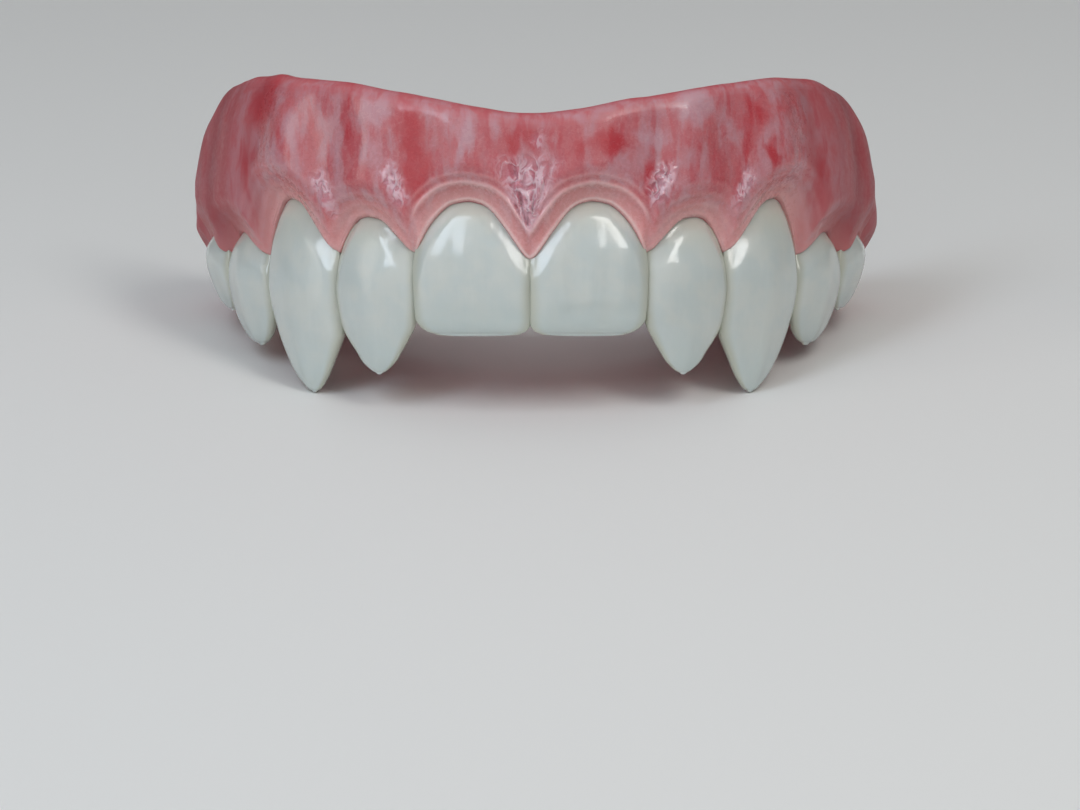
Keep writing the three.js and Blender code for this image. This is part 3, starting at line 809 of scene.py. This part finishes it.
# Ledges along the margins of the incisors: distance from the gum line, width and share of the full
# height. Along the next teeth they are fainter ripples. Their heights also set a painted highlight in the
# gum's colour.
LEDGES = [(1.42, 0.19, 1), (2.1, 0.16, 0.35)]
LEDGE_WANDER = 0.12
RIPPLE = dict(height=0.2, start=1.0, length=0.85, foot=0.3, top=2.9, fade=1.4)
INCISORS_END = (0.6, 1.2)  # how far past the incisors their ledges end, and over what length
RIPPLES_END = (8, 6)  # how far before the last tooth the ripples end, and over what length

PRINT_SIZE = 2.4  # of the unevenness on the channel side

# Noises: size of their features each way, shift, seed and octaves
NOISES = {
    "face": (2.6, 4.2, 0, 11, 2),
    "top edge": (4.0, 1, 0, 91, 2),
    "folds": (0.55, 0.8, 20, 31, 2),
    "crinkle outline": (0.7, 0.9, 0, 37, 2),
    "frenum folds": (1, 2.6, 40, 57, 2),
    "furrow course": (4.0, 1, 0, 71, 1),
    "ledge course": (2.2, 1, 0, 83, 1),
    "print": (PRINT_SIZE, 1, 0, 101, 3),
    "mottle drift along": (1.8, 2.6, 0, 131, 3),
    "mottle drift up": (1.6, 2.4, 0, 141, 3),
}

# Relief of the outer face. The band is the hollow between the gum line and the ledges.
RELIEF = dict(face=0.09, crinkles=0.2, frenum=0.26, ledges=0.16, band=0.1, furrows=0.08)
BAND = dict(foot=0.4, top=1.3, fade=0.3)
FURROW_FADE = 1.5  # distance from the gum line within which the furrows run out


def uneven(name, u, v):
    """One of the noises in the table, at a place."""
    wide, high, start, seed, octaves = NOISES[name]
    return rough_noise(u / wide + start, v / high, seed, octaves)


def mottle(s, z):
    """How red the mottles make a place, or how pale where it is below 0."""
    warp_s = s + MOTTLE_DRIFT[0] * uneven("mottle drift along", s, z)
    warp_z = z + MOTTLE_DRIFT[1] * uneven("mottle drift up", s, z)
    total = np.zeros_like(s)
    for place, height, wide, high, red in MOTTLES:
        far = np.hypot((warp_s - place) / wide, (warp_z - height) / high)
        total = total + red * np.exp(-(far**2) * MOTTLE_FADE)
    return np.clip(total, *MOTTLE_LIMITS)


def crinkled(s, z):
    """How much of the crinkled patches beside the papillae is felt at a place, 0 to 1."""
    felt = np.zeros(np.broadcast(s, z).shape)
    ragged = CRINKLE_RAGGED * uneven("crinkle outline", s, z)
    for place, height, wide, high, slant, share in CRINKLES:
        u = s - place - slant * (z - height)
        far = np.hypot(u / wide, (z - height) / high)
        felt = np.maximum(felt, share * ease(CRINKLE_EDGE + ragged - far))
    return felt


def frenum(s, z):
    """Fan-shaped place at the midline: angle from its lower tip, rise above it, share felt."""
    rise = z - MIDLINE_PAPILLA * INCISOR_NECK - FRENUM["above"]
    across = s + FRENUM["aside"] + FRENUM["slant"] * rise
    fan = np.arctan2(across, np.maximum(rise, FRENUM["least"]))
    spread = ease(FRENUM["edge"] - np.abs(fan) / FRENUM["reach"])
    return fan, rise, spread * hump(rise, FRENUM["foot"], FRENUM["top"], FRENUM["fade"])


def furrows(s, z):
    """How much of the upright furrows between the roots is felt at a place, 0 to 1."""
    felt = np.zeros(np.broadcast(s, z).shape)
    for place, share, width in FURROWS:
        wander = FURROW_WANDER * uneven("furrow course", z, np.zeros_like(z) + place)
        felt = np.maximum(felt, share * bell(np.abs(s) - place - wander, width))
    return felt


def over_incisors(s):
    """1 along the two incisors, falling to 0 beside them."""
    past, fade = INCISORS_END
    return ease((TEETH[0]["middle"] + TEETH[0]["half"] + past - np.abs(s)) / fade)


def ledges(s, q):
    """Low ledges along the margins of the incisors, and fainter ripples along the next teeth's."""
    central = over_incisors(s)
    before, fade = RIPPLES_END
    beyond = (1 - central) * ease((REACH - before - np.abs(s)) / fade)
    wander = LEDGE_WANDER * uneven("ledge course", s, np.zeros_like(s))
    ledge_and_highlight = sum(share * bell(q - place - wander, width) for place, width, share in LEDGES)
    angle = 2 * math.pi * (q - RIPPLE["start"] - wander) / RIPPLE["length"]
    ripple = RIPPLE["height"] * np.cos(angle) * hump(q, RIPPLE["foot"], RIPPLE["top"], RIPPLE["fade"])
    return ledge_and_highlight * central + ripple * beyond


def gum_relief(s, z, q):
    """Small relief of the outer face ahead of its plain form, q away from the gum line."""
    relief = RELIEF["face"] * uneven("face", s, z)
    folds = 1 - np.abs(uneven("folds", s, z)) * CRINKLE_SHARPNESS
    relief = relief + RELIEF["crinkles"] * crinkled(s, z) * folds

    # Folds of the frenum, which run together down to the papilla between the incisors
    fan, rise, spread = frenum(s, z)
    radial = 1 - np.abs(uneven("frenum folds", fan * FRENUM["folds"], rise)) * FRENUM["sharpness"]
    relief = relief + RELIEF["frenum"] * spread * radial

    band = -RELIEF["band"] * hump(q, **BAND) * over_incisors(s)
    relief = relief + RELIEF["ledges"] * ledges(s, q) + band
    return relief - RELIEF["furrows"] * furrows(s, z) * ease(q / FURROW_FADE)


# Sections of the gum, from the gum line up the outer face and round to the teeth

STATIONS = 664
FRONT_SHARE = 0.2  # above 0 the stations stand closer together at the front than at the rear
FACE_POINTS = 78
FACE_CROWDING = 1.15  # above 1 the face's points stand closer together towards the gum line
EDGE_POINTS = 10
BORDER_UNEVEN = 0.1

# Margin: it hugs the teeth, this much ahead of their faces at the gum line, and never further back
# than the deepest. Further up, and past the last tooth, the face becomes the plain one.
MARGIN = dict(ahead=0.36, deepest=-1.5, samples=9, pad=1.0, start=0.4, blend=3.4)
ROLL = dict(reach=0.26, depth=0.2)
RELIEF_FADE = 0.5

# Where the plain face runs into the rolled edge: points on either side, rounds of evening out
CREASE = dict(below=16, above=12, rounds=20)

# The channel side is the print of a mouth: slightly uneven, never as polished as the front. It
# starts this many points past the outer face, and its unevenness a little later.
INSIDE_START = 6
INSIDE_BLUR = 3
PRINT = dict(depth=0.09, start=8, fade=10)

BED = 2.95  # the bed's back, behind the arch line
LIP_BACK = 0.12  # how far the lip falls towards the bed, as a share of the way to the underside
LIP_FRONT = 0.06
LIP_DEPTH = 0.3

# Corners of the section: size of the rounding, points round it and points on the way to it
CORNERS = [
    ("shoulder", 2.5, 5, 4),
    ("front_corner", 1.6, 5, 2),
    ("back_corner", 1.6, 5, 3),
    ("wall_in", 0.7, 4, 3),
    ("wall_out", 0.7, 4, 0),
    ("heel", 1.1, 4, 4),
    ("toe", 0.5, 4, 3),
]
LIP_BEFORE = {"lip_back": 2, "lip_front": 1}
CORNER_SHARE = 0.48  # a rounding takes up this share of either side at most

END_ROUND = 0.28  # rounding of the two rear ends
END_STEPS = 4

# Where the gum's looks change: distance from the gum line, from the top edge or along the arch,
# and the length over which they do
OFF_FACE = 9.0  # distance from the gum line that stands for all points off the outer face
MARGIN_REACH = 2.2
# painted highlight line along the rolled gum edge: its distance from the gum line and width, then where
# it ends along the arch and over what length
EDGE_HIGHLIGHT_LINE = (0.17, 0.1)
EDGE_HIGHLIGHT_END = (11, 3)
# painted shade in the furrows fades in over this distance from the gum line
FURROW_SHADE_FADE = 2
BROW = (2.2, 1.2)
RIM = (1.1, 0.7)
# painted shade, and a duller coat, towards the rear ends: where they begin along the arch, and over what
# length
REAR = (22, 10)
FRENUM_SHARE = 0.9


def corner(a, b, c, size, steps):
    """Rounds the corner b of a-b-c by a curve that starts and ends at most size away from it."""
    before = np.linalg.norm(a - b, axis=-1, keepdims=True)
    after = np.linalg.norm(c - b, axis=-1, keepdims=True)
    start = b + (a - b) * np.minimum(size / before, CORNER_SHARE)
    end = b + (c - b) * np.minimum(size / after, CORNER_SHARE)
    t = np.linspace(0, 1, steps)[:, None, None]
    return start * (1 - t) ** 2 + 2 * b * t * (1 - t) + end * t**2


def straight(a, b, count):
    """Points between a and b, without a and b themselves."""
    t = (np.arange(1, count + 1) / (count + 1))[:, None, None]
    return a * (1 - t) + b * t


def drawn_in(loop, length):
    """A closed section moved inwards by a length, square to itself."""
    along = np.roll(loop, -1, axis=0) - np.roll(loop, 1, axis=0)
    along = along / np.maximum(np.linalg.norm(along, axis=1, keepdims=True), 1e-6)
    ahead, up = loop[:, 0], loop[:, 1]
    area = (ahead * np.roll(up, -1) - np.roll(ahead, -1) * up).sum() / 2
    return loop + np.sign(area) * length * np.stack([-along[:, 1], along[:, 0]], -1)


def top_border(s):
    """Height of the gum's top edge."""
    border = FLANGE_HEIGHT * smooth(np.abs(s) / ARCH_END, *zip(*BORDER_ROWS))
    border = border + smooth(s, *zip(*BORDER_LIFT))
    return border + BORDER_UNEVEN * uneven("top edge", s, np.zeros_like(s))


def margin_ahead(s, line, plain_there):
    """Length that the gum stands ahead of the arch line at the gum line itself."""
    ahead = tooth_face(s, line) - SHOULDER_DEPTH + MARGIN["ahead"]
    kernel = np.exp(-(np.linspace(-2, 2, MARGIN["samples"]) ** 2))
    padded = np.pad(np.maximum(ahead, MARGIN["deepest"]), MARGIN["samples"] // 2, mode="edge")
    hugging = np.convolve(padded, kernel / kernel.sum(), mode="valid")
    pad = ease((np.abs(s) - REACH) / MARGIN["pad"])
    return hugging * (1 - pad) + plain_there * pad


def outer_face(s, line, edge_height):
    """Outer face: points ahead and up, distances from the gum line, and its lower edge."""
    share = np.linspace(0, 1, FACE_POINTS)[:, None] ** FACE_CROWDING
    z = line + (edge_height - line) * share
    q = line_distance(s, z, line)
    even_line = softened(s, line)
    plain = face_ahead(s, z, np.clip((z - even_line) / (edge_height - even_line), 0, 1))
    margin = margin_ahead(s, line, plain[0])
    ahead = margin + (plain - margin) * ease((q + MARGIN["start"]) / MARGIN["blend"])
    roll = np.clip(1 - q / ROLL["reach"], 0, 1)
    ahead = ahead - ROLL["depth"] * (1 - np.sqrt(1 - roll**2))
    relief = gum_relief(np.broadcast_to(s, z.shape), z, q)
    return np.stack([ahead + relief * ease(q / RELIEF_FADE), z], -1), q, margin


def gum_section(s, line, outer, margin, edge_height):
    """All points of the sections: outer face, top edge, channel, inner wall, underside, bed."""
    round_off = FLANGE_THICKNESS / 2
    edge = outer[-1, :, 0]
    angles = np.linspace(0, math.pi, EDGE_POINTS)[1:-1, None]
    top = np.stack([
        edge - round_off + round_off * np.cos(angles),
        edge_height + round_off * np.sin(angles),
    ], -1)
    under = FRONT_UNDERSIDE + (REAR_UNDERSIDE - FRONT_UNDERSIDE) * share_round(s, "second_premolar")
    floor = under + FLOOR_THICKNESS
    channel_back = -CHANNEL_FRONT - CHANNEL_WIDTH
    wall_top = floor + LINGUAL_HEIGHT

    def at(d, z):
        return np.stack(np.broadcast_arrays(d * np.ones_like(s), z), -1)

    places = {
        "inner_edge": at(edge - FLANGE_THICKNESS, edge_height),
        "shoulder": at(-CHANNEL_FRONT, floor + CHANNEL_DEPTH),
        "front_corner": at(-CHANNEL_FRONT, floor),
        "back_corner": at(channel_back, floor),
        "wall_in": at(channel_back, wall_top),
        "wall_out": at(channel_back - LINGUAL_WALL, wall_top),
        "heel": at(channel_back - LINGUAL_WALL, under),
        "toe": at(-BED, under),
        "lip_back": at(-BED, line - (line - under) * LIP_BACK),
        "lip_front": at(margin - LIP_DEPTH, line - LIP_FRONT),
    }
    names = list(places)
    parts = [outer, top, places["inner_edge"][None]]
    for name, size, steps, count in CORNERS:
        k = names.index(name)
        bend = corner(*(places[near] for near in names[k - 1:k + 2]), size, steps)
        parts += [straight(parts[-1][-1], bend[0], count), bend]
    for name, count in LIP_BEFORE.items():
        parts += [straight(parts[-1][-1], places[name], count), places[name][None]]
    section = np.concatenate(parts)

    # The face runs into the rolled edge without a crease
    crease = slice(FACE_POINTS - CREASE["below"], FACE_POINTS + CREASE["above"])
    before = slice(crease.start - 1, crease.stop - 1)
    after = slice(crease.start + 1, crease.stop + 1)
    for _ in range(CREASE["rounds"]):
        section[crease] = (section[before] + 2 * section[crease] + section[after]) / 4
    return section


def channel_side(section, s):
    """Makes the channel side uneven, and tells how far each point belongs to it."""
    hidden = np.zeros(len(section))
    hidden[FACE_POINTS + INSIDE_START:] = 1
    past = np.arange(len(section)) - FACE_POINTS - PRINT["start"]
    felt = hidden * ease(past / PRINT["fade"])
    up_and_in = section[..., 1] / PRINT_SIZE + section[..., 0] / PRINT_SIZE
    waves = PRINT["depth"] * uneven("print", s[None], up_and_in)
    section[..., 0] = section[..., 0] + waves * felt[:, None]
    window = 2 * INSIDE_BLUR + 1
    padded = np.pad(hidden, INSIDE_BLUR, mode="edge")
    return np.clip(np.convolve(padded, np.ones(window) / window, mode="valid"), 0, 1)


def rounded_ends(sections, s):
    """Adds both rear ends, whose sections draw in, and tells which station each section follows."""
    turn = np.arange(1, END_STEPS + 1) / END_STEPS * math.pi / 2
    further = END_ROUND * np.sin(turn)
    first, last = (
        [drawn_in(sections[end], END_ROUND * (1 - math.cos(a))) for a in turn] for end in (0, -1)
    )
    sections = np.concatenate([first[::-1], sections, last])
    s = np.concatenate([(s[0] + further)[::-1], s, s[-1] - further])
    return sections, s, np.clip(np.arange(-END_STEPS, STATIONS + END_STEPS), 0, STATIONS - 1)


def gum_attributes(s, sections, q, border, inside):
    """What the gum's material reads at each point."""
    total, count = sections.shape[:2]
    stations = np.repeat(s, count)
    heights = sections[..., 1].ravel()
    below_top = heights - np.repeat(border, count)
    distance = np.full((total, count), OFF_FACE)
    distance[:, :FACE_POINTS] = q.T
    distance = distance.ravel()
    inside_all = np.tile(inside, total)
    outside = 1 - inside_all
    crinkles = np.maximum(crinkled(stations, heights), FRENUM_SHARE * frenum(stations, heights)[2])
    edge_highlight_end = ease((EDGE_HIGHLIGHT_END[0] - np.abs(stations)) / EDGE_HIGHLIGHT_END[1])
    return {
        "arch": np.stack([stations, heights, sections[..., 0].ravel()], -1),
        "blush": mottle(stations, heights) * outside,
        "inside": inside_all,
        "margin": ease(1 - distance / MARGIN_REACH),
        # painted highlight line along the rolled gum edge over the incisors
        "edge_highlight": bell(distance - EDGE_HIGHLIGHT_LINE[0], EDGE_HIGHLIGHT_LINE[1]) * edge_highlight_end,
        # the ledges' heights, which also place their painted highlight
        "ledge_and_highlight": np.clip(ledges(stations, distance), 0, 1),
        # painted shade in the upright furrows, fading in away from the gum line
        "furrow_shade": furrows(stations, heights) * ease(distance / FURROW_SHADE_FADE) * outside,
        "brow": ease((below_top + BROW[0]) / BROW[1]) * outside,
        # painted shade towards the rear ends, which also dulls the coat there
        "rear": ease((np.abs(stations) - REAR[0]) / REAR[1]) * outside,
        # where the crinkles' bump, painted sheen and painted glints go
        "crinkle": crinkles * outside,
        "rim": ease((below_top + RIM[0]) / RIM[1]) * outside,
    }


def make_gum(material):
    even = np.linspace(1, -1, STATIONS)
    s = (ARCH_END - END_ROUND) * (even * (1 - FRONT_SHARE) + even**3 * FRONT_SHARE)
    line = gum_line(s)[0]
    border = top_border(s)
    edge_height = border - FLANGE_THICKNESS / 2
    outer, q, margin = outer_face(s, line, edge_height)
    section = gum_section(s, line, outer, margin, edge_height)
    inside = channel_side(section, s)
    sections, s, which = rounded_ends(section.transpose(1, 0, 2), s)

    total, count = sections.shape[:2]
    points = arch_point(s[:, None], sections[..., 0], sections[..., 1]).reshape(-1, 3)
    faces = grid_faces(total, count)
    faces.append(tuple(range(count))[::-1])
    faces.append(tuple((total - 1) * count + k for k in range(count)))
    attributes = gum_attributes(s, sections, q[:, which], border[which], inside)
    return make_piece("gum", points, faces, attributes, material, ["gum_base"])


make_gum(gum_material())
tooth_acrylic = tooth_material()
for side in (1, -1):
    for tooth in TEETH:
        make_tooth(tooth, side, tooth_acrylic)


# Stage, light and camera

FLOOR_SIZE = 2.4  # metres

# Area lights: place in the bite frame, size in metres, power and tint
LIGHTS = [
    ("left_key", (-158, -214, 200), (0.085, 0.26), 0.3, (0.76, 0.87, 1)),
    ("right_key", (150, -210, 215), (0.08, 0.22), 0.34, (1, 0.98, 0.95)),
    ("front_fill", (-190, -560, 130), (1.5, 0.7), 1.8, (1, 0.99, 0.97)),
    ("left_side", (-420, -230, 120), (0.14, 0.4), 0.14, (1, 0.94, 0.85)),
    ("right_side", (420, -200, 120), (0.3, 0.5), 0.04, (1, 0.98, 0.95)),
    ("overhead", (0, 90, 720), (1.4, 1.2), 1.7, (1, 1, 1)),
]
LIGHT_TARGET = (0, 10, 8)
SKY_COLOUR = (0.8, 0.84, 0.9, 1)
SKY_STRENGTH = 0.1

# The camera stands 300 mm in front of the teeth, level with the bite, turned by one degree
CAMERA_DISTANCE = 300.0
CAMERA_TURN = math.radians(1)
CAMERA_HEIGHT = -5.34
CAMERA_AIM_X = 0.785  # where its axis meets the plane of the teeth
FRAME_WIDTH = 84.78  # width of that plane in view
SENSOR = 36.0


def make_floor():
    n = Nodes("pale_floor")
    n.shade({"Base Color": colour(232, 232, 230), "Roughness": 0.6})
    mesh = bpy.data.meshes.new("floor")
    half = FLOOR_SIZE / 2
    corners = [(-half, -half, 0), (half, -half, 0), (half, half, 0), (-half, half, 0)]
    mesh.from_pydata(corners, [], [(0, 1, 2, 3)])
    mesh.materials.append(n.material)
    floor = add("floor", mesh)


def aim(thing, place, target):
    """Stands a light or camera at a bite-frame place, looking at another one."""
    start, end = to_row([place, target])
    forward = Vector(end - start).normalized()
    up_there = Vector(turned((0, 0, 1)))
    right = forward.cross(up_there).normalized()
    up = right.cross(forward)
    turn = Matrix((right, up, -forward)).transposed().to_4x4()
    thing.matrix_world = Matrix.Translation(Vector(start)) @ turn


def make_light(name, place, size, power, tint):
    light = bpy.data.lights.new(name, "AREA")
    light.shape = "RECTANGLE"
    light.size, light.size_y = size
    light.energy = power
    light.color = tint
    aim(add(name, light), place, LIGHT_TARGET)


make_floor()
for light in LIGHTS:
    make_light(*light)

world = bpy.data.worlds.new("studio")
bpy.context.scene.world = world
world.use_nodes = True
sky = world.node_tree.nodes["Background"].inputs
sky["Color"].default_value = SKY_COLOUR
sky["Strength"].default_value = SKY_STRENGTH

camera_data = bpy.data.cameras.new("camera")
camera_data.sensor_width = SENSOR
camera_data.lens = SENSOR * CAMERA_DISTANCE / FRAME_WIDTH
camera_data.clip_start = 0.01
camera = add("camera", camera_data)
bpy.context.scene.camera = camera
aim(
    camera,
    (
        CAMERA_AIM_X + CAMERA_DISTANCE * math.sin(CAMERA_TURN),
        -CAMERA_DISTANCE * math.cos(CAMERA_TURN),
        CAMERA_HEIGHT,
    ),
    (CAMERA_AIM_X, 0, CAMERA_HEIGHT),
)
bpy.context.scene.view_settings.view_transform = "Standard"
